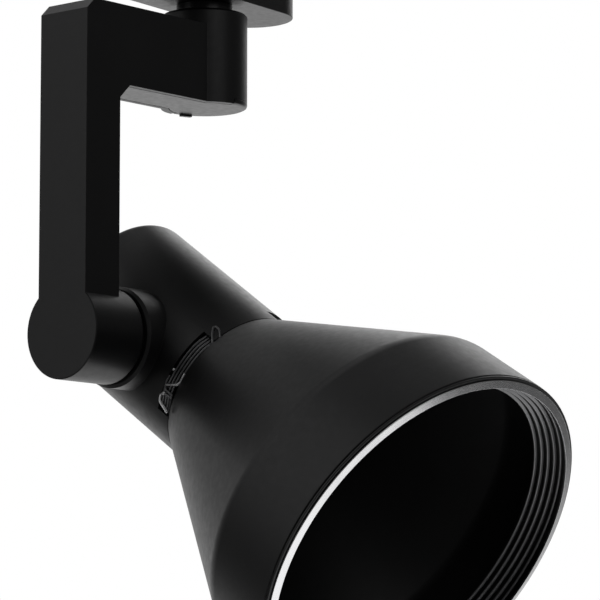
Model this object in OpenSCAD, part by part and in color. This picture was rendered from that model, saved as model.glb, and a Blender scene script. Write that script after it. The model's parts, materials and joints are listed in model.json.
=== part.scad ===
// Track spotlight: a track adapter, a one-sided L-shaped arm that swivels under it, and a lamp head
// with a flared shade that tilts on the arm's lower end. Millimetres, +Z up, the track runs along X.
// The origin is where the swivel axis meets the underside of the track.

/* [Track adapter] */
// Length of the adapter base along the track
base_l = 91.4; // [84:0.2:110]
// Width of the adapter base
base_w = 34.4; // [32:0.2:38]
// Height of the adapter base under the track
base_h = 22; // [20:0.5:26]
// Wall of the moulded adapter parts
base_wall = 2.4; // [2:0.1:2.6]
// Length of the part that goes up into the track
insert_l = 56; // [50:1:58]
// Width of the part that goes up into the track
insert_w = 16.5; // [15:0.5:17]
// Height of the part that goes up into the track
insert_h = 16; // [14:0.5:18]
// How far the lock tab stands up into the track
lock_rise = 5; // [4:0.5:6]

/* [Swivel] */
// Outer diameter of the hollow threaded stem
stem_d = 10; // [9:0.5:10]
// Diameter of the wire way through the stem and the tilt tube
wire_way_d = 6.5; // [6:0.1:7]
// Diameter of the collar between the adapter and the arm
collar_d = 21; // [18:0.5:24]
// Height of the collar
collar_h = 3.9; // [3:0.1:6]
// Diameter of the round boss at the arm's swivel end
boss_d = 32.4; // [31:0.2:35]
// How far the boss stands above the arm
boss_rise = 6.3; // [4:0.1:7]
// Turn of the arm about the swivel axis in the rest pose
pan_rest = -6.5; // [-30:0.5:30]

/* [Arm] */
// Distance from the swivel axis to the arm's outer face
arm_reach = 74.9; // [70:0.1:85]
// Width of the arm
arm_w = 23.4; // [22:0.1:26]
// Thickness of the vertical leg
arm_t = 17.4; // [16:0.1:19]
// Distance from the arm's top down to the tilt axis
arm_drop = 119.8; // [115:0.1:140]
// Height of the horizontal beam
beam_h = 29.3; // [27:0.1:32]
// Chamfer on the outer corner
outer_chamfer = 4; // [2:0.5:6]
// Chamfer in the inner corner
inner_chamfer = 5; // [3:0.5:7]
// Wall of the cast arm
arm_wall = 2.4; // [2:0.1:2.6]
// Thickness of the cover that closes the arm
cover_t = 2; // [1.5:0.1:2.2]

/* [Tilt joint] */
// Diameter of the barrel at the arm's lower end
barrel_d = 34.8; // [33:0.1:36]
// Length of the barrel
barrel_l = 25.6; // [24:0.1:27]
// Diameter of the hub on the lamp housing
hub_d = 37; // [36:0.2:40]
// Angle of the head below level in the rest pose
tilt_rest = 35; // [0:0.2:90]

/* [Lamp head] */
// Outer diameter of the lamp housing
housing_d = 62; // [60:0.5:64]
// Wall of the lamp housing
housing_wall = 2.4; // [2:0.1:2.8]
// Distance of the housing's rear face behind the head's centre
housing_rear = 41; // [40:0.5:48]
// Distance of the housing's front edge ahead of the head's centre
housing_front = 29.6; // [28:0.2:32]
// Sideways place of the head's axis from the swivel axis
head_side = -11.75; // [-12:0.05:-10]
// Distance of the head's centre ahead of the tilt axis
head_ahead = 3.3; // [2:0.1:4]

/* [Shade] */
// Distance of the crease between cone and band ahead of the head's centre
crease_at = 103.6; // [95:0.2:112]
// Outer diameter at the crease
crease_d = 135.4; // [132:0.2:140]
// Distance of the band's front edge ahead of the head's centre
band_front = 133.6; // [128:0.2:140]
// Outer diameter at the band's front edge
band_d = 139; // [138.6:0.2:142]
// Wall of the spun shade
shade_wall = 1.2; // [1:0.1:1.5]
// Number of ridges inside the front ring
ridge_count = 5; // [3:1:5]

/* [Hidden] */

$fn = 64;
big_fn = 128;
small_fn = 32;
eps = 0.1;

// Levels along the swivel axis
boss_top = -base_h - collar_h;
arm_top = boss_top - boss_rise;
beam_bottom = arm_top - beam_h;
tilt_z = arm_top - arm_drop;
boss_roof = boss_top - 4;
stem_r = stem_d / 2;
wire_way_r = wire_way_d / 2;
run_gap = 0.05;
fit_gap = 0.02;
free_gap = 0.1;
base_floor = -base_h + 3;
flange_t = 2.5;

// Swivel stack under the boss roof: thickness of each piece
friction_t = 1.2;
stop_t = 1.6;
wave_t = 1.7;
flat_t = 1.3;
nut_t = 6;
nut_af = 17;
stack_stop = boss_roof - friction_t - free_gap;
stack_wave = stack_stop - stop_t - free_gap;
stack_flat = stack_wave - wave_t;
stack_nut = stack_flat - flat_t;
stem_bottom = stack_nut - nut_t - 2;
stem_top = base_floor + 8;
boss_cavity_r = 13.3;
stop_tab_w = 2;

// Arm in plan and section
arm_inner = -arm_reach + arm_t;
channel_w = arm_w - 2 * arm_wall;
cover_w = channel_w - 0.8;
cover_gap = 0.4;
cover_end_r = 13;
pry_tab_turn = 72.7;
pry_tab_w = 4.6;
pry_tab_h = 0.8;
barrel_r = barrel_d / 2;
barrel_cavity_r = 13.6;
barrel_end = -arm_reach + barrel_l;
barrel_web = 5;
leg_cover_low = tilt_z + barrel_r + 0.7;
beam_post_x = -34;
leg_post_z = tilt_z + 52;
ground_post_z = tilt_z + 74;
post_r = 3.2;
screw_r = 1.5;
screw_head_r = 2.7;
screw_head_h = 1.6;

// Tilt stack along the tilt axis, from the barrel's web towards its closed end
web_face = barrel_end - barrel_web;
tilt_wave_at = web_face - friction_t - free_gap;
tilt_flat_at = tilt_wave_at - wave_t;
tilt_nut_at = tilt_flat_at - flat_t;
tube_arm_end = tilt_nut_at - nut_t - 2;
hub_face = barrel_end + 0.4;
stop_pin_r = 1.5;
stop_pin_at = 11;
tilt_low = -tilt_rest;
tilt_high = 90 - tilt_rest;

// Head, in its own frame: +Z is the way the light shines, the origin is the head's centre
housing_r = housing_d / 2;
housing_ir = housing_r - housing_wall;
recess_r = housing_r - 0.8;
recess_from = 23.3;
window_span = 64;
window_first = 173;
hub_face_local = hub_face - head_side;
nut_pad = -26.5;
tube_head_end = nut_pad + 5;
neck_r = 28.2;
neck_from = 13;
shade_rear = housing_front + 0.05;
bracket_at = -33.5;
bracket_t = 1.5;
bracket_screw_y = 23.5;
holder_rear = bracket_at + bracket_t;
holder_front = 4;
holder_r = 19;
holder_nose_r = 17;
shell_r = 13.35;
shell_wall = 0.5;
shell_from = -23.5;
shell_to = 2.5;

// Front ring
ring_seat_r = band_d / 2 - shade_wall - 1.2;
ring_gap = 0.3;
ring_front = band_front + 2.4;
strip_t = 0.85;
lip_r = band_d / 2 - 1.1;
lip_w = 2.9;
lip_slope = 0.7;
ridge_step = 2;
ridge_shrink = 1.25;
ridge_first = band_front - 0.9;
ridge_first_r = 65.4;
ridge_tip = 0.7;
ridge_depth = 0.6;
ring_rear = ridge_first - (ridge_count - 1) * ridge_step - 1;
ring_rear_r = ridge_first_r - (ridge_count - 1) * ridge_shrink;
baffle_t = 1.5;
ring_wall = 0.8;

// Wires
wire_r = 0.95;

// ---- helpers ----

// Points of a quadratic curve that rounds the corner b between a and c, starting d before it
function corner(a, b, c, d, n = 6) =
  let (p = b + (a - b) * d / norm(a - b), q = b + (c - b) * d / norm(c - b))
  [for (i = [0 : n]) let (t = i / n) p * (1 - t) * (1 - t) + b * 2 * t * (1 - t) + q * t * t];

// A path through the points with every inner corner rounded
function soft_path(p, d, n = 5) = concat(
  [p[0]],
  [for (i = [1 : len(p) - 2]) each corner(p[i - 1], p[i], p[i + 1], d, n)],
  [p[len(p) - 1]]
);

function unit(v) = v / norm(v);

// Tangent of a path at point i
function way(p, i) = unit(p[min(i + 1, len(p) - 1)] - p[max(i - 1, 0)]);

// A round wire swept along a path; side is a direction that the path never takes
module wire(p, r, sides = 8, side = [0, 1, 0]) {
  last = len(p) - 1;
  points = [
    for (i = [0 : last])
      let (t = way(p, i), u = unit(cross(t, side)), v = cross(t, u))
      for (k = [0 : sides - 1])
        let (a = 360 * k / sides) p[i] + r * (cos(a) * u + sin(a) * v)
  ];
  faces = concat(
    [[for (k = [sides - 1 : -1 : 0]) k]],
    [for (i = [0 : last - 1]) for (k = [0 : sides - 1])
      let (n = (k + 1) % sides, a = i * sides, b = a + sides)
      each [[a + k, a + n, b + n], [a + k, b + n, b + k]]],
    [[for (k = [0 : sides - 1]) last * sides + k]]
  );
  polyhedron(points, faces, convexity = 6);
}

module stadium(l, w, h) {
  linear_extrude(h)
    union() {
      square([l - w, w], center = true);
      for (s = [-1, 1])
        translate([s * (l - w) / 2, 0]) circle(d = w);
    }
}

module ring(r_out, r_in, h) {
  rotate_extrude() translate([r_in, 0]) square([r_out - r_in, h]);
}

// A round bar along +X from x0 to x1
module bar_x(r, x0, x1) {
  translate([x0, 0, 0]) rotate([0, 90, 0]) cylinder(r = r, h = x1 - x0);
}

// A ring along +X
module ring_x(r_out, r_in, x0, x1) {
  difference() {
    bar_x(r_out, x0, x1);
    bar_x(r_in, x0 - eps, x1 + eps);
  }
}

module hex_nut(af, bore_r, h) {
  difference() {
    cylinder(r = af / 2 / cos(30), h = h, $fn = 6);
    translate([0, 0, -eps]) cylinder(r = bore_r, h = h + 2 * eps);
  }
}

// A pan-head screw standing along +Z, its head on z = 0 and its shank below
module pan_screw(head_r, head_h, shank_r, shank_l) {
  difference() {
    union() {
      rotate_extrude()
        polygon([[0, 0], [head_r, 0], [head_r, head_h * 0.5], [head_r * 0.7, head_h], [0, head_h]]);
      translate([0, 0, -shank_l]) cylinder(r = shank_r, h = shank_l + eps);
    }
    for (a = [0, 90])
      rotate(a) translate([-head_r * 0.55, -0.3, head_h * 0.45])
        cube([head_r * 1.1, 0.6, head_h]);
  }
}

// A countersunk screw standing along +Z, the top of its head on z = 0
module sunk_screw(head_r, head_h, shank_r, shank_l) {
  difference() {
    rotate_extrude($fn = small_fn)
      polygon([[0, -shank_l], [shank_r, -shank_l], [shank_r, -head_h], [head_r, 0], [0, 0]]);
    for (a = [0, 90])
      rotate(a) translate([-head_r * 0.55, -0.3, -0.7]) cube([head_r * 1.1, 0.6, 1]);
  }
}

// A wave washer: a ring with a shallow zig-zag of raised arcs on each face
module wave_washer(r_out, r_in, h) {
  core = h * 0.5;
  translate([0, 0, (h - core) / 2]) ring(r_out, r_in, core);
  for (k = [0 : 2]) {
    rotate_extrude(angle = 30, start = k * 120)
      translate([r_in, h * 0.5]) square([r_out - r_in, h * 0.5]);
    rotate_extrude(angle = 30, start = k * 120 + 60)
      translate([r_in, 0]) square([r_out - r_in, h * 0.5]);
  }
}

// Frames of the moving parts, in the rest pose
module arm_frame() { rotate([0, 0, pan_rest]) children(); }
module knuckle_frame() { arm_frame() translate([0, 0, tilt_z]) children(); }
module head_frame() {
  knuckle_frame() translate([head_side, 0, 0]) rotate([90 + tilt_rest, 0, 0])
    translate([0, 0, head_ahead]) children();
}

// ---- adapter ----

lock_x = -39.2;
lock_l = 4.6;
lock_w = 8;
lock_nub_z = -10.5;
lock_travel = 4;
lock_bottom = -11;
adapter_screw_x = 32;
sunk_head_r = 2.8;
sunk_head_h = 1.5;
contact_z = 9;
contact_w = 10;
contact_reach = 4;
ground_x = 16;

module adapter_base() color("#1b1b1d") {
  inner_l = base_l - 2 * base_wall;
  inner_w = base_w - 2 * base_wall;
  difference() {
    translate([0, 0, -base_h]) stadium(base_l, base_w, base_h);
    translate([0, 0, base_floor]) stadium(inner_l, inner_w, base_h);
    translate([0, 0, -base_h - eps]) cylinder(r = stem_r + free_gap, h = 4);
    translate([-base_l / 2 - 1, -3.4, lock_nub_z - lock_travel - 0.6])
      cube([base_wall + 3, 6.8, 4 + lock_travel + 1.2]);
  }
  for (s = [-1, 1])
    translate([s * adapter_screw_x, 0, base_floor - eps])
      difference() {
        cylinder(r = 3.5, h = -flange_t - free_gap - base_floor + eps, $fn = small_fn);
        translate([0, 0, 4]) cylinder(r = screw_r, h = base_h, $fn = small_fn);
      }
}

module adapter_insert() color("#232325") {
  wall = 1.8;
  difference() {
    union() {
      translate([0, 0, -flange_t])
        stadium(base_l - 2 * base_wall - 0.5, base_w - 2 * base_wall - 0.5, flange_t);
      translate([-insert_l / 2, -insert_w / 2, -eps]) cube([insert_l, insert_w, insert_h - 2]);
      translate([-insert_l / 2, 0, insert_h - 4])
        rotate([90, 0, 90]) linear_extrude(insert_l)
          polygon([[-insert_w / 2, 0], [insert_w / 2, 0], [insert_w / 2, 1.9], [insert_w / 2 - 3, 4],
                   [-insert_w / 2 + 3, 4], [-insert_w / 2, 1.9]]);
    }
    translate([-insert_l / 2 + wall, -insert_w / 2 + wall, -flange_t - 1])
      cube([insert_l - 2 * wall, insert_w - 2 * wall, insert_h + flange_t - 1]);
    for (s = [-1, 1])
      translate([-contact_w / 2 - 0.5, s * insert_w / 2 - 3, contact_z - 0.5])
        cube([contact_w + 1, 6, 2.2]);
    translate([ground_x - 0.5, -2, insert_h - 4]) cube([9, 4, 6]);
    translate([lock_x - lock_l / 2 - 0.4, -lock_w / 2 - 0.4, -flange_t - 1])
      cube([lock_l + 0.8, lock_w + 0.8, flange_t + 2]);
    for (s = [-1, 1])
      translate([s * adapter_screw_x, 0, 0]) {
        translate([0, 0, -flange_t - 1]) cylinder(r = screw_r + 0.2, h = 5, $fn = small_fn);
        translate([0, 0, -sunk_head_h - 0.2])
          cylinder(r1 = screw_r + 0.2, r2 = sunk_head_r + 0.35, h = sunk_head_h + 0.3, $fn = small_fn);
      }
  }
}

// A contact blade: a tail inside the adapter and a springy nose that reaches into the track
module blade() {
  tail_y = insert_w / 2 - 3.2;
  translate([-contact_w / 2, tail_y, -9]) cube([contact_w, 1, contact_z + 10]);
  translate([-contact_w / 2, tail_y, contact_z])
    cube([contact_w, insert_w / 2 + contact_reach - 1.2 - tail_y, 1]);
  translate([-contact_w / 2, insert_w / 2 + contact_reach - 1.2, contact_z + 0.5])
    rotate([0, 90, 0]) cylinder(r = 1.1, h = contact_w, $fn = small_fn);
}

module live_contact() color("#c98a4b") blade();
module neutral_contact() color("#c98a4b") mirror([0, 1, 0]) blade();

module ground_contact() color("#c98a4b") {
  translate([ground_x, -1.5, -8]) cube([1, 3, insert_h + 9.4]);
  translate([ground_x, -1.5, insert_h + 0.4]) cube([7.5, 3, 1]);
  translate([ground_x + 6.8, -1.5, insert_h + 0.9])
    rotate([-90, 0, 0]) cylinder(r = 1.2, h = 3, $fn = small_fn);
}

module adapter_screws() color("#9a9a9c") {
  for (s = [-1, 1])
    translate([s * adapter_screw_x, 0, -0.2]) sunk_screw(sunk_head_r, sunk_head_h, screw_r - fit_gap, 11);
}

module lock_tab() color("#2c2c2e") {
  union() {
    translate([lock_x - lock_l / 2, -lock_w / 2, lock_bottom])
      cube([lock_l, lock_w, lock_rise - lock_bottom]);
    translate([lock_x - lock_l / 2 - 0.7, -lock_w / 2 - 0.7, lock_bottom])
      cube([lock_l + 1.4, lock_w + 1.4, -flange_t - 0.2 - lock_bottom]);
    translate([-base_l / 2 - 2.2, -3, lock_nub_z]) cube([lock_x + base_l / 2 + 2.2, 6, 4]);
  }
}

module lock_spring() color("#b8b8ba") {
  turns = 4;
  height = lock_bottom - base_floor - 0.8;
  steps = turns * 16;
  path = [for (i = [0 : steps])
    let (a = 360 * turns * i / steps)
    [lock_x + 2.2 * cos(a), 2.2 * sin(a), base_floor + 0.4 + height * i / steps]];
  wire(path, 0.35, 6, [0, 0, 1]);
}

module swivel_stem() color("#8d8d90") {
  translate([0, 0, stem_bottom]) ring(stem_r, wire_way_r, stem_top - stem_bottom);
}

module stem_top_nut() color("#a8a8ab") {
  translate([0, 0, base_floor]) hex_nut(nut_af, stem_r + fit_gap, 5);
}

module stem_collar() color("#151516") {
  translate([0, 0, boss_top + free_gap]) ring(collar_d / 2, stem_r + free_gap, collar_h - free_gap);
}

// Washer fixed on the stem; its tab meets the arm's lug at the two ends of the swivel
module stop_washer() color("#a8a8ab")
  translate([0, 0, stack_stop - stop_t]) difference() {
    union() {
      cylinder(r = 9, h = stop_t);
      rotate(pan_rest) translate([stem_r, -stop_tab_w / 2, 0])
        cube([boss_cavity_r - 0.5 - stem_r, stop_tab_w, stop_t]);
    }
    translate([0, 0, -eps]) cylinder(r = stem_r + fit_gap, h = stop_t + 2 * eps);
  }

module swivel_wave_washer() color("#b8b8ba") {
  translate([0, 0, stack_wave - wave_t]) wave_washer(8.5, stem_r + free_gap, wave_t);
}

module swivel_flat_washer() color("#a8a8ab") {
  translate([0, 0, stack_flat - flat_t]) ring(9.5, stem_r + free_gap, flat_t);
}

module swivel_nut() color("#a8a8ab") {
  translate([0, 0, stack_nut - nut_t]) hex_nut(nut_af, stem_r + fit_gap, nut_t);
}

module stem_bushing() color("#efefe6") {
  translate([0, 0, stem_bottom - 1.2]) ring(stem_r, wire_way_r - 0.7, 1.2);
  translate([0, 0, stem_bottom - eps]) ring(wire_way_r - fit_gap, wire_way_r - 0.7, 5);
}

// Leads from the contact tails to the foot of the stem
module adapter_wires() color("#d9d9d4") {
  tail_y = insert_w / 2 - 3.2;
  foot = stem_bottom - 1.1;
  wire(soft_path([[0, tail_y - 1, -6], [0, 1.15, -8], [0, 1.15, foot]], 1.5), wire_r, 8, [1, 0, 0]);
  wire(soft_path([[0, 1 - tail_y, -6], [-1, -0.6, -8], [-1, -0.6, foot]], 1.5), wire_r, 8, [1, 0, 0]);
  wire(soft_path([[ground_x - 1, -0.6, -6], [1, -0.6, -8], [1, -0.6, foot]], 1.5), wire_r, 8);
}

// ---- arm ----

module arm_outline() {
  polygon([
    [-arm_reach, tilt_z], [-arm_reach, arm_top - outer_chamfer], [-arm_reach + outer_chamfer, arm_top],
    [0, arm_top], [0, beam_bottom], [arm_inner + inner_chamfer, beam_bottom],
    [arm_inner, beam_bottom - inner_chamfer], [arm_inner, tilt_z]
  ]);
}

// A slab with a profile drawn in X and Z, centred on Y
module slab(w) {
  translate([0, w / 2, 0]) rotate([90, 0, 0]) linear_extrude(w) children();
}

module arm_shell() color("#1d1d1f") arm_frame() {
  cast_wall = arm_reach - arm_wall;
  difference() {
    union() {
      slab(arm_w) arm_outline();
      rotate_extrude()
        polygon([[0, beam_bottom], [boss_d / 2, beam_bottom], [boss_d / 2, boss_top - 0.8],
                 [boss_d / 2 - 0.8, boss_top], [0, boss_top]]);
      translate([0, 0, tilt_z]) rotate([0, 90, 0])
        rotate_extrude()
          polygon([[0, -arm_reach], [barrel_r - 0.3, -arm_reach], [barrel_r, -arm_reach + 0.3],
                   [barrel_r, barrel_end - 1.8], [barrel_r - 1.2, barrel_end], [0, barrel_end]]);
    }
    // wire channel, open on the inner side of the L
    slab(channel_w) polygon([
      [-cast_wall, leg_cover_low], [-cast_wall, arm_top - outer_chamfer - 1],
      [-cast_wall + outer_chamfer - 1.4, arm_top - arm_wall], [0, arm_top - arm_wall], [0, beam_bottom - 1],
      [arm_inner + inner_chamfer + 1, beam_bottom - 1], [arm_inner + 1, beam_bottom - inner_chamfer - 1],
      [arm_inner + 1, leg_cover_low]
    ]);
    slab(channel_w) polygon([
      [-cast_wall, tilt_z], [-cast_wall, leg_cover_low + eps], [arm_inner - cover_t, leg_cover_low + eps],
      [arm_inner - cover_t, tilt_z]
    ]);
    // inside of the boss
    translate([0, 0, beam_bottom - eps]) cylinder(r = boss_cavity_r, h = boss_roof - beam_bottom + eps);
    translate([0, 0, boss_roof - eps]) cylinder(r = stem_r + run_gap, h = 5);
    // seat of the round end of the cover
    difference() {
      translate([-1, -boss_d, beam_bottom - 1]) cube([boss_d, 2 * boss_d, cover_t + 1 + free_gap]);
      translate([-5, -boss_d, beam_bottom - 2]) cube([3.9, 2 * boss_d, 4]);
    }
    // inside of the barrel
    translate([0, 0, tilt_z]) {
      bar_x(barrel_cavity_r, -cast_wall, web_face);
      bar_x(stem_r + run_gap, web_face - eps, barrel_end + 1);
      // groove that the tilt stop pin runs in
      rotate([0, 90, 0]) translate([0, 0, barrel_end - 3])
        rotate_extrude(angle = tilt_high - tilt_low + 18, start = 90 + tilt_low - 9)
          translate([stop_pin_at - stop_pin_r - 0.3, 0]) square([2 * stop_pin_r + 0.6, 4]);
    }
  }
  // lug that the swivel's stop washer meets
  rotate(180) translate([10.4, -1, boss_roof - 3.4]) cube([boss_cavity_r - 10.4 + 0.3, 2, 3.6]);
  // posts for the cover's peg and screw
  difference() {
    translate([beam_post_x, 0, beam_bottom + cover_t + free_gap])
      cylinder(r = post_r, h = beam_h - cover_t - arm_wall, $fn = small_fn);
    translate([beam_post_x, 0, beam_bottom]) cylinder(r = screw_r, h = 14, $fn = small_fn);
  }
  translate([0, 0, leg_post_z]) difference() {
    bar_x(post_r, -cast_wall - eps, arm_inner - cover_t - free_gap);
    bar_x(screw_r, arm_inner - 12, arm_inner);
  }
  translate([0, -4.5, ground_post_z]) difference() {
    bar_x(post_r, -cast_wall - eps, -cast_wall + 5);
    bar_x(screw_r, -cast_wall + 1, -cast_wall + 6);
  }
}

module arm_cover() color("#29292b") arm_frame() {
  difference() {
    union() {
      slab(cover_w) polygon([
        [arm_inner, leg_cover_low + cover_gap], [arm_inner, beam_bottom - inner_chamfer],
        [arm_inner + inner_chamfer, beam_bottom], [0, beam_bottom],
        [0, beam_bottom + cover_t], [arm_inner + inner_chamfer - 0.8, beam_bottom + cover_t],
        [arm_inner - cover_t, beam_bottom - inner_chamfer + 0.8],
        [arm_inner - cover_t, leg_cover_low + cover_gap]
      ]);
      translate([0, 0, beam_bottom]) cylinder(r = cover_end_r, h = cover_t);
      intersection() {
        rotate_extrude()
          polygon([[0, beam_bottom], [boss_d / 2 - 1.2, beam_bottom], [boss_d / 2 - 0.3, beam_bottom + 0.4],
                   [boss_d / 2, beam_bottom + 1.2], [boss_d / 2, beam_bottom + cover_t],
                   [0, beam_bottom + cover_t]]);
        translate([-0.6, -boss_d, beam_bottom - 1]) cube([boss_d, 2 * boss_d, cover_t + 2]);
      }
    }
    translate([0, 0, leg_post_z]) bar_x(screw_r + 0.2, arm_inner - 4, arm_inner + 1);
  }
  // small tab for prising the cover off
  rotate(pry_tab_turn) translate([boss_d / 2 - 3.4, -pry_tab_w / 2, beam_bottom - pry_tab_h])
    cube([1.8, pry_tab_w, pry_tab_h + eps]);
  // peg that presses into the beam's post
  translate([beam_post_x, 0, beam_bottom + cover_t - eps])
    cylinder(r = screw_r - fit_gap, h = 8, $fn = small_fn);
}

module cover_screw() color("#3a3a3c") arm_frame()
  translate([arm_inner, 0, leg_post_z]) rotate([0, 90, 0])
    pan_screw(screw_head_r, screw_head_h, screw_r - fit_gap, 9);

module swivel_friction_washer() color("#e6e2d3") {
  translate([0, 0, boss_roof - friction_t]) ring(9.5, stem_r + free_gap, friction_t);
}

// Leads from the foot of the stem along the arm's channel to the tilt tube, and the earth lead to its screw
module arm_wires() color("#d9d9d4") arm_frame() {
  foot = stem_bottom - 1.3;
  low = foot - 6;
  leg_x = -arm_reach + arm_wall + 3.4;
  mouth = tube_arm_end - 1.5;
  mouth_x = leg_x - 1.9;
  wire(soft_path([[-0.6, 1.0, foot], [-0.6, 1.0, low], [-12, 6, low], [leg_x, 6, low],
                  [leg_x, 6, tilt_z + 26], [mouth_x, -1.2, tilt_z + 12], [mouth_x, -1.2, tilt_z],
                  [mouth, -1.2, tilt_z]], 2.2), wire_r, 8, unit([0.2, 1, 0.3]));
  wire(soft_path([[-0.6, -1.2, foot], [-0.6, -1.2, low - 2.4], [-13, 8.2, low - 2.4],
                  [leg_x + 2.4, 8.2, low - 2.4], [leg_x + 2.4, 8.2, tilt_z + 22],
                  [mouth_x, 1.2, tilt_z + 8], [mouth_x, 1.2, tilt_z], [mouth, 1.2, tilt_z]], 2.2),
       wire_r, 8, unit([0.2, 1, 0.3]));
  wire(soft_path([[1.4, 0, foot], [1.4, 0, low - 4.6], [-14, -6.5, low - 4.6], [leg_x + 2.2, -6.5, low - 4.6],
                  [leg_x + 2.2, -6.5, ground_post_z + 14], [leg_x + 2.2, -4.5, ground_post_z + 4.4]], 2.2),
       wire_r, 8, unit([0.2, 1, 0.3]));
}

// Earth screw with the ring terminal under its head
module ground_screw() color("#4f8f4a") arm_frame() {
  seat = -arm_reach + arm_wall + 5;
  translate([seat, -4.5, ground_post_z]) rotate([0, 90, 0]) {
    difference() {
      union() {
        cylinder(r = 3, h = 0.8, $fn = small_fn);
        translate([-4.2, -1.2, 0]) cube([4, 2.4, 0.8]);
      }
      translate([0, 0, -eps]) cylinder(r = screw_r, h = 1, $fn = small_fn);
    }
    translate([0, 0, 0.8]) pan_screw(screw_head_r, screw_head_h, screw_r - fit_gap, 4.4);
  }
}

// ---- tilt joint ----

module tilt_friction_washer() color("#e6e2d3") knuckle_frame()
  ring_x(10, stem_r + free_gap, web_face - friction_t, web_face);

module tilt_wave_washer() color("#b8b8ba") knuckle_frame()
  translate([tilt_wave_at, 0, 0]) rotate([0, -90, 0]) wave_washer(9, stem_r + free_gap, wave_t);

module tilt_flat_washer() color("#a8a8ab") knuckle_frame()
  ring_x(9.5, stem_r + free_gap, tilt_flat_at - flat_t, tilt_flat_at);

module tilt_arm_nut() color("#a8a8ab") knuckle_frame()
  translate([tilt_nut_at, 0, 0]) rotate([0, -90, 0]) hex_nut(nut_af, stem_r + fit_gap, nut_t);

module tilt_tube() color("#8d8d90") knuckle_frame()
  ring_x(stem_r, wire_way_r, tube_arm_end, tube_head_end + head_side);

module tilt_head_nut() color("#a8a8ab") knuckle_frame()
  translate([nut_pad + head_side, 0, 0]) rotate([0, 90, 0]) hex_nut(14, stem_r + fit_gap, 4);

// Ring that closes the joint between the barrel and the hub
module tilt_seal_ring() color("#0e0e0f") knuckle_frame()
  ring_x(15.2, 13.2, barrel_end + free_gap, hub_face);

// Pin in the hub that runs in the barrel's groove and sets the two ends of the tilt
module tilt_stop_pin() color("#a8a8ab") knuckle_frame()
  translate([0, stop_pin_at, 0])
    bar_x(stop_pin_r, barrel_end - 2.4, hub_face + 4);

module tube_bushing() color("#efefe6") knuckle_frame() {
  ring_x(stem_r, wire_way_r - 0.7, tube_arm_end - 1.2, tube_arm_end);
  ring_x(wire_way_r - fit_gap, wire_way_r - 0.7, tube_arm_end - eps, tube_arm_end + 5);
}

// ---- head ----

module lamp_housing() color("#1f1f21") head_frame() {
  rear = -housing_rear;
  floor_at = rear + housing_wall;
  difference() {
    union() {
      rotate_extrude($fn = big_fn)
        polygon(concat(
          [[0, rear]], corner([0, rear], [housing_r, rear], [housing_r, 0], 2.5, 5),
          [[housing_r, housing_front], [0, housing_front]]
        ));
      translate([0, 0, -head_ahead]) rotate([0, 90, 0])
        rotate_extrude()
          polygon([[0, hub_face_local], [hub_d / 2 - 1, hub_face_local], [hub_d / 2, hub_face_local + 1],
                   [hub_d / 2, -20], [0, -20]]);
    }
    difference() {
      rotate_extrude($fn = big_fn)
        polygon(concat(
          [[0, floor_at]], corner([0, floor_at], [housing_ir, floor_at], [housing_ir, 0], 1.5, 3),
          [[housing_ir, recess_from], [recess_r, recess_from], [recess_r, housing_front + 1],
           [0, housing_front + 1]]
        ));
      translate([0, 0, -head_ahead]) bar_x(10, -housing_r, nut_pad);
      for (s = [-1, 1])
        translate([0, s * bracket_screw_y, floor_at - 1])
          cylinder(r = 3.4, h = bracket_at - floor_at + 1, $fn = small_fn);
    }
    for (k = [0 : 2])
      rotate_extrude(angle = window_span, start = window_first - window_span / 2 + k * 120, $fn = big_fn)
        translate([recess_r - 2, recess_from + 0.1]) square([6, 20]);
    translate([0, 0, -head_ahead]) bar_x(stem_r + fit_gap, hub_face_local - 1, nut_pad + 1);
    translate([0, stop_pin_at * cos(90 + tilt_rest), -head_ahead - stop_pin_at * sin(90 + tilt_rest)])
      bar_x(stop_pin_r + fit_gap, hub_face_local - 1, hub_face_local + 4 + fit_gap);
    for (s = [-1, 1])
      translate([0, s * bracket_screw_y, bracket_at - 4]) cylinder(r = screw_r, h = 5, $fn = small_fn);
  }
}

module lampholder_bracket() color("#b4b4b6") head_frame()
  difference() {
    translate([-7, -27.2, bracket_at]) cube([14, 54.4, bracket_t]);
    for (s = [-1, 1]) {
      translate([0, s * bracket_screw_y, bracket_at - 1]) cylinder(r = screw_r + 0.2, h = 4, $fn = small_fn);
      translate([0, s * 9, bracket_at - 1]) cylinder(r = 1.6 + fit_gap, h = 4, $fn = small_fn);
    }
  }

module bracket_screws() color("#9a9a9c") head_frame()
  for (s = [-1, 1])
    translate([0, s * bracket_screw_y, bracket_at + bracket_t]) 
      pan_screw(screw_head_r, screw_head_h, screw_r - fit_gap, 5);

module lampholder_rivets() color("#9a9a9c") head_frame()
  for (s = [-1, 1])
    translate([0, s * 9, 0]) {
      translate([0, 0, bracket_at - 0.9]) cylinder(r = 2.6, h = 0.9, $fn = small_fn);
      translate([0, 0, bracket_at - eps]) cylinder(r = 1.6, h = bracket_t + 3.6, $fn = small_fn);
      translate([0, 0, holder_rear + 3.4]) cylinder(r = 2.4, h = 0.9, $fn = small_fn);
    }

module lampholder_body() color("#e8e4d8") head_frame()
  difference() {
    rotate_extrude()
      polygon([[0, holder_rear], [holder_r - 0.8, holder_rear], [holder_r, holder_rear + 0.8],
               [holder_r, -13], [holder_nose_r, -11], [holder_nose_r, holder_front - 1],
               [holder_nose_r - 1, holder_front], [0, holder_front]]);
    translate([0, 0, shell_from - 0.6]) cylinder(r = shell_r + shell_wall + 0.3, h = 40);
    translate([0, 0, holder_rear + 3.4]) cylinder(r = 12, h = 10);
    for (s = [-1, 1])
      translate([0, s * 9, holder_rear - 1]) cylinder(r = 1.6 + fit_gap, h = 6, $fn = small_fn);
    for (s = [-1, 1])
      translate([-holder_r - 1, s * 1.2 - 1.1, -28]) cube([9, 2.2, 2.2]);
  }

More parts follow.
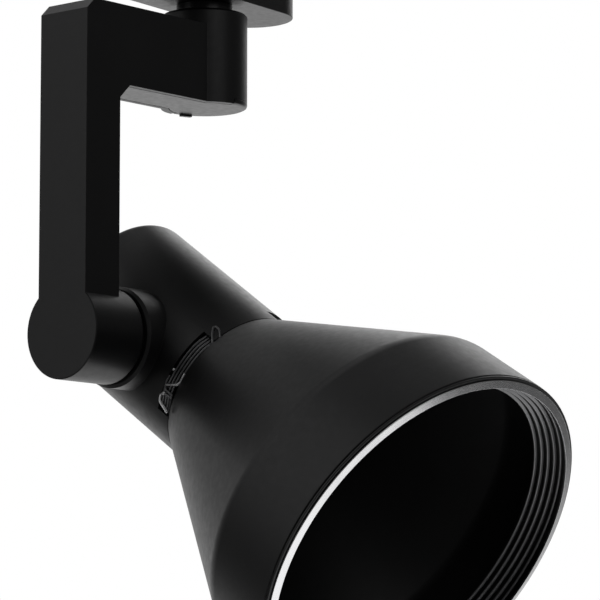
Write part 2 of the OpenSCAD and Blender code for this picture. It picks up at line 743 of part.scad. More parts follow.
module screw_shell() color("#c9a85a") head_frame() {
  translate([0, 0, shell_from]) ring(shell_r + shell_wall, shell_r, shell_to - shell_from);
  translate([0, 0, shell_from - 0.5]) ring(shell_r + shell_wall, 8, 0.5 + eps / 2);
}

module centre_contact() color("#c98a4b") head_frame() {
  translate([-6, -2, holder_rear + 3.5]) cube([12, 4, 0.6]);
  translate([5.2, -2, holder_rear + 3.5]) cube([0.6, 4, 3.8]);
  translate([-3.2, -2, holder_rear + 6.7]) cube([9, 4, 0.6]);
  translate([0, 0, holder_rear + 7.2]) cylinder(r = 2.6, h = 1, $fn = small_fn);
}

// Two leads from the mouth of the tilt tube, through it and round the lampholder to its terminals
module head_wires() color("#d9d9d4") head_frame()
  for (s = [-1, 1])
    wire(soft_path([[tube_arm_end - head_side - 1.1, s * 1.15, -head_ahead],
                    [-19.2, s * 1.15, -head_ahead], [-19.2, s * 1.15, -11.2],
                    [-23.4, s * 1.15, -15.6], [-23.4, s * 1.15, -26.9],
                    [-16, s * 1.15, -26.9]], 1.4), wire_r, 8);

// Wire spring round the shade's neck, with a bent end that stands out through a window
module retaining_spring() color("#c4c4c8") head_frame() {
  turns = 3.6;
  wire_d = 1.2;
  pitch = 1.37;
  per_turn = 44;
  mean_r = recess_r - 0.2 - wire_d / 2;
  first = recess_from + 0.3 + wire_d / 2;
  end_angle = 188;
  steps = turns * per_turn;
  coil = [for (i = [0 : steps])
    let (a = end_angle - turns * 360 + i * 360 / per_turn)
    [mean_r * cos(a), mean_r * sin(a), first + pitch * (turns - i / per_turn)]];
  hook = [for (k = [[1.6, 4, 0.2], [3.0, 6, 0.9], [3.1, 6.5, 3.6], [2.2, 6.5, 5.4]])
    [(mean_r + k[0]) * cos(end_angle + k[1]), (mean_r + k[0]) * sin(end_angle + k[1]), first + k[2]]];
  wire(concat(coil, hook), wire_d / 2, 8, unit([0.13, 0.21, 0.4]));
}

module shade() color("#202022") head_frame() {
  cone_start = [housing_r - 0.1, shade_rear];
  crease = [crease_d / 2, crease_at];
  front = [band_d / 2, band_front];
  outer = concat(
    [[neck_r, neck_from], [neck_r, shade_rear], cone_start],
    corner(cone_start, crease, front, 6, 6),
    [front]
  );
  inner = concat(
    [[band_d / 2 - shade_wall, band_front]],
    corner([band_d / 2 - shade_wall, band_front], [crease_d / 2 - 1.25, crease_at + 0.4],
           [housing_r - 0.5, shade_rear + 1.9], 6, 6),
    [[housing_r - 0.9, shade_rear + shade_wall], [neck_r - shade_wall, shade_rear + shade_wall],
     [neck_r - shade_wall, neck_from]]
  );
  rotate_extrude($fn = big_fn) polygon(concat(outer, inner));
}

module front_ring() color("#19191b") head_frame() {
  strip = [[band_d / 2, band_front + ring_gap], [band_d / 2, band_front + ring_gap + strip_t]];
  lip = [[lip_r - 0.4, band_front + ring_gap + strip_t], [lip_r - 0.4, ring_front - lip_slope - 0.35],
         [lip_r, ring_front - lip_slope - 0.15], [lip_r - 0.15, ring_front - lip_slope + 0.1],
         [lip_r - lip_w + 0.4, ring_front], [lip_r - lip_w, ring_front - 0.3]];
  ridges = [for (i = [0 : ridge_count - 1])
    let (r = ridge_first_r - i * ridge_shrink, z = ridge_first - i * ridge_step)
    each [[min(r + ridge_depth + ridge_shrink, ring_seat_r - ring_wall), z + ridge_step / 2],
          [r, z + ridge_tip / 2], [r, z - ridge_tip / 2]]];
  rotate_extrude($fn = big_fn)
    polygon(concat(
      [[ring_rear_r + baffle_t, ring_rear],
       [ring_seat_r, ring_rear + (ring_seat_r - ring_rear_r - baffle_t) * ridge_step / ridge_shrink],
       [ring_seat_r, band_front + ring_gap]],
      strip,
      lip,
      ridges,
      [[ring_rear_r, ring_rear]]
    ));
}

adapter_base();
adapter_insert();
live_contact();
neutral_contact();
ground_contact();
adapter_screws();
lock_tab();
lock_spring();
swivel_stem();
stem_top_nut();
stem_collar();
stop_washer();
swivel_wave_washer();
swivel_flat_washer();
swivel_nut();
stem_bushing();
adapter_wires();
arm_shell();
arm_cover();
cover_screw();
swivel_friction_washer();
arm_wires();
ground_screw();
tilt_friction_washer();
tilt_wave_washer();
tilt_flat_washer();
tilt_arm_nut();
tilt_tube();
tilt_head_nut();
tilt_seal_ring();
tilt_stop_pin();
tube_bushing();
lamp_housing();
lampholder_bracket();
bracket_screws();
lampholder_rivets();
lampholder_body();
screw_shell();
centre_contact();
head_wires();
retaining_spring();
shade();
front_ring();
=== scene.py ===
"""Track spotlight: meshes, materials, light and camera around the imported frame. Metres, +Z up."""
import json
from math import atan2, ceil, cos, pi, radians, sin, tan

import bmesh
import bpy
from mathutils import Matrix, Vector


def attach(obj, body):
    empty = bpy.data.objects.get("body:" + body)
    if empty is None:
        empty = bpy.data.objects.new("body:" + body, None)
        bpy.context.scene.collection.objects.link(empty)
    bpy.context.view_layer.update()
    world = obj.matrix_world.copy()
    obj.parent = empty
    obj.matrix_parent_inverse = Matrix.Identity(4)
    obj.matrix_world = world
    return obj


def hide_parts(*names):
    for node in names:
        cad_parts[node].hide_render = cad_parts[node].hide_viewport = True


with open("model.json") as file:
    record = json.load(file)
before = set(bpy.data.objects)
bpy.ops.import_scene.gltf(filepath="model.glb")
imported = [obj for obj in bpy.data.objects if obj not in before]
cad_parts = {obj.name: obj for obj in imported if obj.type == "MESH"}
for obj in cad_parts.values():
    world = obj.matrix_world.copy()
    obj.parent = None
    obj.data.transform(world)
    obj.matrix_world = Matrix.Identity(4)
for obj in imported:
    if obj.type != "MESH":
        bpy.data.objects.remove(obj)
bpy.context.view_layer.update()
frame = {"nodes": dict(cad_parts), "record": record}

MM = 0.001
record = frame["record"]
joints = {j["name"]: j for j in record["behaviour"]["joints"]}
mounts = {m["name"]: m for m in record["mounts"]}
slot_of = {s["node"]: s["material_slot"] for s in record["subparts"]}
body_of = {n: b for b, ns in record["behaviour"]["bodies"].items() for n in ns}

# ---- frame of the head at rest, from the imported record: millimetres, +Z along the light ----

tilt_axis = Vector(joints["tilt"]["axis"]).normalized()
light_axis = Vector(mounts["lampholder"]["axis"]).normalized()


SHELL_MID = -10.5  # the lampholder mount, from the head frame's origin along the light axis


def frame_matrix(x, z, origin):
    """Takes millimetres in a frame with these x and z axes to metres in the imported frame."""
    y = z.cross(x)
    m = Matrix((x, y, z)).transposed().to_4x4()
    m.translation = origin
    return m @ Matrix.Scale(MM, 4)


lampholder_at = Vector(mounts["lampholder"]["pos_m"])
HEAD = frame_matrix(tilt_axis, light_axis, lampholder_at - light_axis * SHELL_MID * MM)

# ---- materials ----


class Nodes:
    """A small helper that adds and links shader nodes."""

    def __init__(self, name):
        self.mat = bpy.data.materials.new(name)
        self.mat.use_nodes = True
        self.tree = self.mat.node_tree
        self.shader = self.tree.nodes["Principled BSDF"]
        self.place = self.add("ShaderNodeTexCoord").outputs["Object"]

    def add(self, kind, **props):
        node = self.tree.nodes.new(kind)
        for key, value in props.items():
            setattr(node, key, value)
        return node

    def link(self, a, b):
        self.tree.links.new(a, b)

    def noise(self, scale, detail=2.0, rough=0.5, stretch=None):
        node = self.add("ShaderNodeTexNoise")
        node.inputs["Scale"].default_value = scale
        node.inputs["Detail"].default_value = detail
        node.inputs["Roughness"].default_value = rough
        source = self.place
        if stretch:
            mapping = self.add("ShaderNodeMapping")
            mapping.inputs["Scale"].default_value = stretch
            self.link(source, mapping.inputs["Vector"])
            source = mapping.outputs["Vector"]
        self.link(source, node.inputs["Vector"])
        return node.outputs["Fac"]

    def span(self, value, low, high, lo=0.3, hi=0.7):
        node = self.add("ShaderNodeMapRange")
        node.inputs["From Min"].default_value = lo
        node.inputs["From Max"].default_value = hi
        node.inputs["To Min"].default_value = low
        node.inputs["To Max"].default_value = high
        self.link(value, node.inputs["Value"])
        return node.outputs["Result"]

    def blend(self, value, a, b):
        node = self.add("ShaderNodeMix", data_type="RGBA")
        node.inputs["A"].default_value = (*a, 1)
        node.inputs["B"].default_value = (*b, 1)
        self.link(value, node.inputs["Factor"])
        return node.outputs["Result"]

    def edge(self, strength):
        """Mask of the painted edge highlight: 0 on flats, rising to strength on convex edges."""
        geometry = self.add("ShaderNodeNewGeometry")
        return self.span(geometry.outputs["Pointiness"], 0.0, strength, 0.51, 0.58)

    def bump(self, heights):
        """heights: (value, distance in metres, strength), finest last."""
        normal = None
        for value, distance, strength in heights:
            node = self.add("ShaderNodeBump")
            node.inputs["Distance"].default_value = distance
            node.inputs["Strength"].default_value = strength
            self.link(value, node.inputs["Height"])
            if normal:
                self.link(normal, node.inputs["Normal"])
            normal = node.outputs["Normal"]
        self.link(normal, self.shader.inputs["Normal"])


def mixed(a, b, t):
    return tuple(x + (y - x) * t for x, y in zip(a, b))


def coated(name, color, rough, grain, depth, orange_peel=0.3, edge=0.25, specular=0.5):
    """Powder coat or moulded plastic: fine grain, a little orange peel, and a painted edge highlight that
    makes thin convex edges slightly paler.
    """
    n = Nodes(name)
    lighter = tuple(min(1, c * 1.9 + 0.006) for c in color)
    cloud = n.noise(35, 3)
    base = n.add("ShaderNodeMix", data_type="RGBA")
    n.link(n.blend(n.span(cloud, 0, 1), color, mixed(color, lighter, 0.35)), base.inputs["A"])
    # painted edge highlight: convex edges take the lighter colour
    base.inputs["B"].default_value = (*lighter, 1)
    n.link(n.edge(edge), base.inputs["Factor"])
    n.link(base.outputs["Result"], n.shader.inputs["Base Color"])
    n.link(n.span(n.noise(420, 4), rough - 0.03, rough + 0.04), n.shader.inputs["Roughness"])
    n.shader.inputs["Specular IOR Level"].default_value = specular
    n.bump([(n.noise(520, 1), 0.00003, orange_peel), (n.noise(grain, 2), depth, 0.5)])
    return n.mat


def metal(name, color, rough, brushed=(1, 1, 1), edge=0.3, dark=0.6):
    """Bare or plated metal with a random cloud and a painted edge highlight that makes convex edges paler;
    brushed stretches its fine grain.
    """
    n = Nodes(name)
    n.shader.inputs["Metallic"].default_value = 1
    cloud = n.noise(120, 4)
    base = n.add("ShaderNodeMix", data_type="RGBA")
    n.link(n.blend(n.span(cloud, 0, 1), tuple(c * dark for c in color), color), base.inputs["A"])
    # painted edge highlight: convex edges take a paler copy of the colour
    base.inputs["B"].default_value = (*(min(1, c * 1.15) for c in color), 1)
    n.link(n.edge(edge), base.inputs["Factor"])
    n.link(base.outputs["Result"], n.shader.inputs["Base Color"])
    n.link(n.span(n.noise(400, 3), rough - 0.08, rough + 0.1), n.shader.inputs["Roughness"])
    fine = n.noise(1800, 2, stretch=brushed)
    n.bump([(n.noise(500, 2), 0.00004, 0.3), (fine, 0.00002, 0.4)])
    return n.mat


def painted_highlight_metal(name, low, high, metallic, rough):
    """Smooth metal with a faint cloud and hardly any bump, used to paint highlights on the front ring's lip
    and ridge tips.
    """
    n = Nodes(name)
    n.shader.inputs["Metallic"].default_value = metallic
    n.link(n.blend(n.span(n.noise(60, 3), 0, 1), low, high), n.shader.inputs["Base Color"])
    n.link(n.span(n.noise(200, 3), rough - 0.02, rough + 0.03), n.shader.inputs["Roughness"])
    n.bump([(n.noise(3000, 2), 0.00001, 0.3)])
    return n.mat


def ceramic(name, color):
    """Glazed ceramic with a few dark specks."""
    n = Nodes(name)
    speck = n.noise(1500, 1)
    speck_color = (0.45, 0.4, 0.32)
    n.link(n.blend(n.span(speck, 0, 1, 0.68, 0.74), color, speck_color), n.shader.inputs["Base Color"])
    n.link(n.span(n.noise(150, 3), 0.22, 0.4), n.shader.inputs["Roughness"])
    n.shader.inputs["Coat Weight"].default_value = 0.4
    n.shader.inputs["Coat Roughness"].default_value = 0.12
    n.bump([(n.noise(180, 3), 0.0002, 0.3), (n.noise(900, 2), 0.00003, 0.3)])
    return n.mat


def plastic(name, color, rough, translucent=0.0):
    """Smooth moulded plastic or wire insulation."""
    n = Nodes(name)
    paler = tuple(min(1, c * 1.12 + 0.01) for c in color)
    n.link(n.blend(n.span(n.noise(70, 3), 0, 1), color, paler), n.shader.inputs["Base Color"])
    n.link(n.span(n.noise(300, 3), rough - 0.06, rough + 0.08), n.shader.inputs["Roughness"])
    n.shader.inputs["Subsurface Weight"].default_value = translucent
    n.shader.inputs["Subsurface Radius"].default_value = (0.002, 0.002, 0.0015)
    n.bump([(n.noise(1200, 2), 0.00002, 0.35)])
    return n.mat


BLACK = (0.0052, 0.0052, 0.0057)
materials = {
    "adapter_plastic": coated("adapter_plastic", (0.0065, 0.0065, 0.007), 0.36, 2600, 0.00002, 0.15),
    "black_collar": coated("black_collar", (0.007, 0.007, 0.0075), 0.24, 3000, 0.00001, 0.08),
    "lock_plastic": coated("lock_plastic", (0.02, 0.02, 0.021), 0.45, 2600, 0.00002, 0.15),
    "contact_copper": metal("contact_copper", (0.83, 0.5, 0.3), 0.28, (1, 1, 0.15)),
    "zinc_steel": metal("zinc_steel", (0.6, 0.61, 0.64), 0.34, (1, 0.2, 1)),
    "stem_steel": metal("stem_steel", (0.5, 0.5, 0.51), 0.32, (1, 1, 0.1)),
    # the spring wire in two copies of one steel: the pale one paints a highlight, the dark one paints shade
    "spring_steel": metal("spring_steel", (0.9, 0.9, 0.91), 0.32, (1, 1, 1), 0.2, 0.85),
    "spring_painted_shade": metal("spring_painted_shade", (0.2, 0.2, 0.205), 0.34, (1, 1, 1), 0.2),
    "nylon": plastic("nylon", (0.78, 0.75, 0.66), 0.42, 0.2),
    "wire_insulation": plastic("wire_insulation", (0.72, 0.72, 0.7), 0.38),
    "wire_black": plastic("wire_black", (0.02, 0.02, 0.02), 0.36),
    "wire_green": plastic("wire_green", (0.04, 0.2, 0.07), 0.38),
    "cast_black": coated("cast_black", BLACK, 0.4, 2300, 0.000025, 0.3),
    "cover_black": coated("cover_black", (0.006, 0.006, 0.0065), 0.34, 2600, 0.00002, 0.15),
    "black_screw": metal("black_screw", (0.06, 0.06, 0.065), 0.42, (1, 1, 1), 0.5),
    "ground_green": metal("ground_green", (0.09, 0.34, 0.12), 0.36, (1, 1, 1), 0.4),
    "seal_rubber": coated("seal_rubber", (0.006, 0.006, 0.006), 0.6, 1500, 0.00003, 0.2, 0.1),
    # a bright metal copy of the front ring's black, a painted highlight along its lip
    "painted_lip_highlight": painted_highlight_metal("painted_lip_highlight", (0.84, 0.84, 0.85), (0.9, 0.9, 0.91), 1.0, 0.22),
    "lampholder_ceramic": ceramic("lampholder_ceramic", (0.8, 0.78, 0.72)),
    "shell_brass": metal("shell_brass", (0.8, 0.6, 0.28), 0.25, (1, 1, 1)),
    "shade_black": coated("shade_black", BLACK, 0.42, 2300, 0.000025, 0.25),
    # a darker, less shiny copy of the front ring's black: painted shade in the grooves between the ridges
    "ring_painted_shade": coated("ring_painted_shade", (0.004, 0.004, 0.0043), 0.4, 2300, 0.00001, 0.1, 0.0, 0.12),
    # ring_black: a paler, half-metallic copy of the ring's black that paints a highlight on the ridge tips
    "ring_black": painted_highlight_metal("ring_black", (0.2, 0.2, 0.205), (0.26, 0.26, 0.265), 0.5, 0.24),
}

# ---- mesh helpers ----


def place(name, mesh, body, material, slot=None, *nodes):
    """A finished piece: its material, its body, and the CAD nodes it stands for, which are hidden; the slot
    is not used.
    """
    piece = bpy.data.objects.new(name, mesh)
    bpy.context.scene.collection.objects.link(piece)
    mesh.materials.clear()
    mesh.materials.append(materials[material])
    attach(piece, body)
    if nodes:
        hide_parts(*nodes)
    return piece


def finish_mesh(name, bm, matrix=None, sharp=35, weighted=True):
    """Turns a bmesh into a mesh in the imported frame, with edges over the sharp angle kept sharp."""
    if matrix is not None:
        bm.transform(matrix)
    bmesh.ops.recalc_face_normals(bm, faces=bm.faces)
    mesh = bpy.data.meshes.new(name)
    bm.to_mesh(mesh)
    bm.free()
    for polygon in mesh.polygons:
        polygon.use_smooth = True
    mesh.set_sharp_from_angle(angle=radians(sharp))
    if not weighted:
        return mesh
    holder = bpy.data.objects.new(name + "_shaping", mesh)
    bpy.context.scene.collection.objects.link(holder)
    modifier = holder.modifiers.new("normals", "WEIGHTED_NORMAL")
    modifier.keep_sharp = True
    modifier.weight = 80
    evaluated = holder.evaluated_get(bpy.context.evaluated_depsgraph_get())
    result = bpy.data.meshes.new_from_object(evaluated)
    result.name = name
    bpy.data.objects.remove(holder)
    bpy.data.meshes.remove(mesh)
    return result


def rounded(points, default=0.3, steps=5):
    """A closed outline with each corner rounded. A point is (r, z) or (r, z, radius)."""
    out = []
    count = len(points)
    for i, p in enumerate(points):
        radius = p[2] if len(p) > 2 else default
        b = Vector(p[:2])
        a = Vector(points[i - 1][:2])
        c = Vector(points[(i + 1) % count][:2])
        u, v = a - b, c - b
        la, lc = u.length, v.length
        if radius <= 0 or la < 1e-6 or lc < 1e-6:
            out.append(tuple(b))
            continue
        u, v = u / la, v / lc
        inner = u.angle(v)
        if inner > radians(177):
            out.append(tuple(b))
            continue
        reach = min(radius / tan(inner / 2), la * 0.47, lc * 0.47)
        radius = reach * tan(inner / 2)
        centre = b + (u + v).normalized() * (radius / sin(inner / 2))
        start, end = b + u * reach, b + v * reach
        a0 = atan2(*(start - centre).yx)
        a1 = atan2(*(end - centre).yx)
        turn = (a1 - a0 + pi) % (2 * pi) - pi
        parts = max(2, ceil(steps * abs(turn) / (pi / 2)))
        for k in range(parts + 1):
            t = a0 + turn * k / parts
            out.append((centre.x + radius * cos(t), centre.y + radius * sin(t)))
    return out


AROUND = 256  # steps round a large turned piece


def lathe(outline, steps=AROUND):
    """A bmesh turned from a closed outline of (r, z) about Z."""
    bm = bmesh.new()
    rings = []
    for r, z in outline:
        if abs(r) < 1e-6:
            rings.append([bm.verts.new((0, 0, z))])
        else:
            rings.append([bm.verts.new((r * cos(2 * pi * k / steps), r * sin(2 * pi * k / steps), z))
                          for k in range(steps)])
    for i, ring in enumerate(rings):
        other = rings[(i + 1) % len(rings)]
        if len(ring) == 1 and len(other) == 1:
            continue
        for k in range(steps):
            corners = [ring[k % len(ring)], ring[(k + 1) % len(ring)],
                       other[(k + 1) % len(other)], other[k % len(other)]]
            unique = []
            for vert in corners:
                if vert not in unique:
                    unique.append(vert)
            if len(unique) >= 3:
                bm.faces.new(unique)
    return bm


WELD, SLIVER = 4e-6, 2e-6  # metres
COPLANAR, EDGE_ANGLE = radians(0.6), radians(28)


def softened(node, width, segments):
    """A copy of a CAD node with its coplanar faces joined and its edges rounded."""
    source = frame["nodes"][node]
    bm = bmesh.new()
    bm.from_mesh(source.data)
    bmesh.ops.remove_doubles(bm, verts=bm.verts, dist=WELD)
    bmesh.ops.dissolve_degenerate(bm, edges=bm.edges, dist=SLIVER)
    bmesh.ops.dissolve_limit(bm, angle_limit=COPLANAR, use_dissolve_boundaries=False,
                             verts=bm.verts, edges=bm.edges)
    bm.normal_update()
    edges = [e for e in bm.edges if e.is_manifold and e.calc_face_angle() > EDGE_ANGLE]
    if edges:
        bmesh.ops.bevel(bm, geom=edges, offset=width * MM, offset_type="OFFSET", segments=segments,
                        profile=0.5, affect="EDGES", clamp_overlap=True, miter_outer="ARC")
    return finish_mesh(node + "_mesh", bm)


END_ANGLES, END_BULGE = (25, 55, 80), 0.6  # rounding of a tube's ends


def merged(bm, part):
    """Adds one bmesh to another and frees it."""
    mesh = bpy.data.meshes.new("part")
    part.to_mesh(mesh)
    part.free()
    bm.from_mesh(mesh)
    bpy.data.meshes.remove(mesh)


def tube(points, radius, sides=12):
    """A bmesh tube along a path of points, with rounded ends."""
    pts = [Vector(p) for p in points]
    tangents = []
    for i in range(len(pts)):
        t = pts[min(i + 1, len(pts) - 1)] - pts[max(i - 1, 0)]
        tangents.append(t.normalized())
    normal = tangents[0].orthogonal().normalized()
    bm = bmesh.new()
    rings = []

    def ring(centre, u, v, r):
        rings.append([bm.verts.new(centre + (u * cos(2 * pi * k / sides) + v * sin(2 * pi * k / sides)) * r)
                      for k in range(sides)])

    for i, (p, t) in enumerate(zip(pts, tangents)):
        if i:
            normal = tangents[i - 1].rotation_difference(t) @ normal
        normal = (normal - t * normal.dot(t)).normalized()
        u, v = normal, t.cross(normal)
        if i == 0:
            for a in END_ANGLES[::-1]:
                ring(p - t * radius * sin(radians(a)) * END_BULGE, u, v, radius * cos(radians(a)))
        ring(p, u, v, radius)
        if i == len(pts) - 1:
            for a in END_ANGLES:
                ring(p + t * radius * sin(radians(a)) * END_BULGE, u, v, radius * cos(radians(a)))
    for a, b in zip(rings, rings[1:]):
        for k in range(sides):
            bm.faces.new((a[k], a[(k + 1) % sides], b[(k + 1) % sides], b[k]))
    bm.faces.new(rings[0][::-1])
    bm.faces.new(rings[-1])
    return bm


def bent(points, radius, steps=6):
    """An open path with its inner corners rounded to a radius."""
    pts = [Vector(p) for p in points]
    out = [pts[0]]
    for a, b, c in zip(pts, pts[1:], pts[2:]):
        u, v = a - b, c - b
        reach = min(radius, u.length * 0.48, v.length * 0.48)
        start, end = b + u.normalized() * reach, b + v.normalized() * reach
        for k in range(steps + 1):
            t = k / steps
            out.append(start * (1 - t) ** 2 + b * (2 * t * (1 - t)) + end * t ** 2)
    out.append(pts[-1])
    return out


def turned(name, outline, corner, arc_steps, material, slot, node):
    """A head piece turned about the light axis, standing for a CAD node."""
    shape = lathe(rounded(outline, corner, arc_steps))
    place(name, finish_mesh(name, shape, HEAD, 40), "head", material, slot, node)


# ---- dimensions shared with the CAD model, in millimetres ----

housing_r, housing_front = 31.0, 29.6
crease_r, crease_at = 67.7, 103.6
band_r, band_front = 69.5, 133.6
shade_wall = 1.2
neck_r, neck_from = 28.2, 13.0
shade_rear = housing_front + 0.05
ring_front = band_front + 2.4

# ---- shade: spun sheet with a flanged neck, a soft crease and a band ----

turned("shade_shell", [
    (neck_r, neck_from, 0.5),
    (neck_r, shade_rear, 0.3),
    (housing_r - 0.1, shade_rear, 1.0),
    (crease_r, crease_at, 11),
    (band_r, band_front, 0.45),
    (band_r - shade_wall, band_front, 0.45),
    (crease_r - 1.25, crease_at + 0.4, 10),
    (housing_r - 0.5, shade_rear + 1.9, 1.2),
    (neck_r - shade_wall, shade_rear + shade_wall, 1.0),
    (neck_r - shade_wall, neck_from, 0.5),
], 0.4, 14, "shade_black", None, "shade")

# ---- front ring: strip, groove, rounded lip and ridges ----

ridges = 5
ridge_r, ridge_at, ridge_step, ridge_shrink = 65.4, band_front - 0.9, 2.0, 1.25
groove_r = band_r - shade_wall - 2.0  # the grooves' floor
seat_r = band_r - shade_wall - 1.2
lip_r = band_r - 1.1
rear_r = ridge_r - (ridges - 1) * ridge_shrink
rear_at = ridge_at - (ridges - 1) * ridge_step - 1
outline = [
    (rear_r + 1.5, rear_at, 0.3),
    (seat_r, rear_at + (seat_r - rear_r - 1.5) * ridge_step / ridge_shrink, 0.5),
    (seat_r, band_front + 0.5, 0.1),
    (lip_r - 0.7, band_front + 0.5, 0.1),
    (lip_r - 0.7, ring_front - 1.05, 0.05),
    (lip_r - 2.4, ring_front - 0.55, 0.1),
    (lip_r - 2.5, ring_front - 0.75, 0.05),
]
# ridge tips: thin rings over the ridges in the paler copy of the ring's black, a painted highlight on each
# crest
tips = bmesh.new()
for i in range(ridges):
    r = ridge_r - i * ridge_shrink
    z = ridge_at - i * ridge_step
    outline += [(min(r + 1.85, groove_r), z + 1.0, 0.1), (min(r + 1.7, groove_r), z + 0.5, 0.1),
                (r + 0.3, z + 0.3, 0.1), (r + 0.3, z - 0.3, 0.1)]
    tip = [(r, z + 0.36, 0.28), (r + 1.15, z + 0.44, 0.1), (r + 1.15, z - 0.3, 0.1), (r, z - 0.36, 0.28)]
    merged(tips, lathe(rounded(tip, 0.1, 6)))
outline += [(rear_r, rear_at, 0.2)]
# the ring's body takes the darker copy of its black, painted shade in its grooves
turned("front_trim_ring", outline, 0.3, 6, "ring_painted_shade", "ring_black", "front_ring")
place("front_ring_ridges", finish_mesh("front_ring_ridges", tips, HEAD, 50),
      "head", "ring_black", None, "front_ring")

turned("front_ring_strip", [
    (seat_r - 0.3, band_front + 0.32, 0.1), (band_r - 0.02, band_front + 0.32, 0.2),
    (band_r - 0.02, band_front + 1.12, 0.25), (lip_r - 0.5, band_front + 1.17, 0.05),
    (lip_r - 0.5, ring_front - 0.98, 0.05), (lip_r - 1.0, ring_front - 0.9, 0.05),
    (seat_r - 0.3, band_front + 0.9, 0.05),
], 0.2, 5, "shade_black", "ring_black", "front_ring")
# the lip in the bright metal copy of the ring's black: a painted highlight along its rounded edge
turned("front_ring_lip", [
    (lip_r - 0.45, ring_front - 1.02, 0.05), (lip_r - 0.02, ring_front - 0.86, 0.12),
    (lip_r - 0.15, ring_front - 0.6, 0.3), (lip_r - 2.86, ring_front - 0.02, 0.05),
    (lip_r - 2.8, ring_front - 0.75, 0.1), (lip_r - 2.4, ring_front - 0.75, 0.1),
], 0.2, 7, "painted_lip_highlight", "ring_black", "front_ring")

# ---- retaining spring: coil, hairpin at one end, crossings and a hook at the other ----


WINDOW_ANGLE, WINDOW_REACH, WINDOW_FADE = 168, 32, 16  # degrees round the housing


def on_housing(angle, s, r):
    """A point in the head's frame, from degrees about the light axis, distance along it and radius."""
    return (r * cos(radians(angle)), r * sin(radians(angle)), s)


def in_window(angle):
    """1 in the middle of the window that faces the arm, 0 away from it."""
    off = abs((angle - WINDOW_ANGLE + 180) % 360 - 180)
    t = max(0.0, min(1.0, (WINDOW_REACH - off) / WINDOW_FADE))
    return t * t * (3 - 2 * t)


wire_r = 0.56
coil_r, bulge = 29.3, 1.05  # the coil stands out by the bulge in the window
turns, per_turn, pitch = 4, 90, 1.42
coil_front, coil_end = 29.1, 175.0
coil = []
for i in range(turns * per_turn - 1):
    angle = coil_end - turns * 360 + 4 + i * 360 / per_turn
    back = turns - (i + 1) / per_turn
    coil.append(on_housing(angle, coil_front - pitch * back, coil_r + bulge * in_window(angle)))
bar = [on_housing(178.0, 29.5, 30.6), on_housing(179.8, 29.3, 31.1), on_housing(184.9, 24.5, 31.2)]
crossing = [on_housing(184.9, 24.5, 31.2), on_housing(188.4, 25.0, 31.0), on_housing(188.6, 28.8, 30.9),
            on_housing(190.6, 28.6, 31.0), on_housing(190.4, 25.6, 31.6)]
hook = [on_housing(190.0, 25.6, 31.6), on_housing(191.4, 24.9, 32.4), on_housing(196.0, 25.6, 32.7),
        on_housing(199.0, 30.4, 32.7)]
hairpin = [
    on_housing(143.6, 29.8, 30.5), on_housing(139.5, 27.2, 31.1), on_housing(134.6, 24.6, 31.1),
    on_housing(133.0, 25.2, 31.1), on_housing(133.6, 27.6, 31.1), on_housing(137.0, 30.0, 30.8),
]
spring_end = [on_housing(173.9, 24.2, 30.4), on_housing(173.3, 24.4, 31.3)]
# painted light on the spring: the bar, hook and cut end in the pale steel copy as a painted highlight;
# coil, crossing and hairpin in the dark copy as painted shade
for name, points, finish in (
        ("lamp_retaining_spring", coil, "spring_painted_shade"),
        ("spring_bar", bent([coil[-1]] + bar, 1.0), "spring_steel"),
        ("spring_crossing", bent(crossing, 0.8), "spring_painted_shade"),
        ("spring_hook", bent(hook, 1.0), "spring_steel"),
        ("spring_end", bent(spring_end, 0.2), "spring_steel"),
        ("spring_hairpin", bent(hairpin, 0.9), "spring_painted_shade")):
    mesh = finish_mesh(name, tube(points, wire_r), HEAD, 50, False)
    place(name, mesh, "head", finish, "spring_steel", "retaining_spring")

# ---- screw shell of the lampholder, with its rolled thread ----


def screw_shell():
    """A thin tube with a rolled thread that fades out at both ends, and a floor with a hole."""
    steps, rows, pitch, low, high = 72, 92, 3.63, -23.5, 2.5
    bore_r, thread_depth, wall, fade_length = 13.35, 0.55, 0.45, 1.5
    bm = bmesh.new()
    grid = []
    for side in (0, 1):
        rings = []
        for j in range(rows + 1):
            z = low + (high - low) * j / rows
            ring = []
            for k in range(steps):
                a = 2 * pi * k / steps
                wave = 0.5 + 0.5 * cos(2 * pi * (z / pitch - k / steps))
                fade = min(1, (z - low) / fade_length, (high - z) / fade_length)
                r = bore_r - thread_depth * wave * max(0, fade) + wall * side
                ring.append(bm.verts.new((r * cos(a), r * sin(a), z)))
            rings.append(ring)
        grid.append(rings)
    for rings in grid:
        for a, b in zip(rings, rings[1:]):
            for k in range(steps):
                bm.faces.new((a[k], a[(k + 1) % steps], b[(k + 1) % steps], b[k]))
    for j in (0, rows):
        a, b = grid[0][j], grid[1][j]
        for k in range(steps):
            bm.faces.new((a[k], a[(k + 1) % steps], b[(k + 1) % steps], b[k]))
    floor = [(8, low - 0.5, 0.1), (13.8, low - 0.5, 0.2), (13.8, low, 0.1), (8, low, 0.1)]
    merged(bm, lathe(rounded(floor, 0.1, 3), steps))
    return bm


place("lampholder_screw_shell", finish_mesh("lampholder_screw_shell", screw_shell(), HEAD, 50, False),
      "head", "shell_brass", None, "screw_shell")

# ---- everything else: the CAD shapes with rounded edges ----

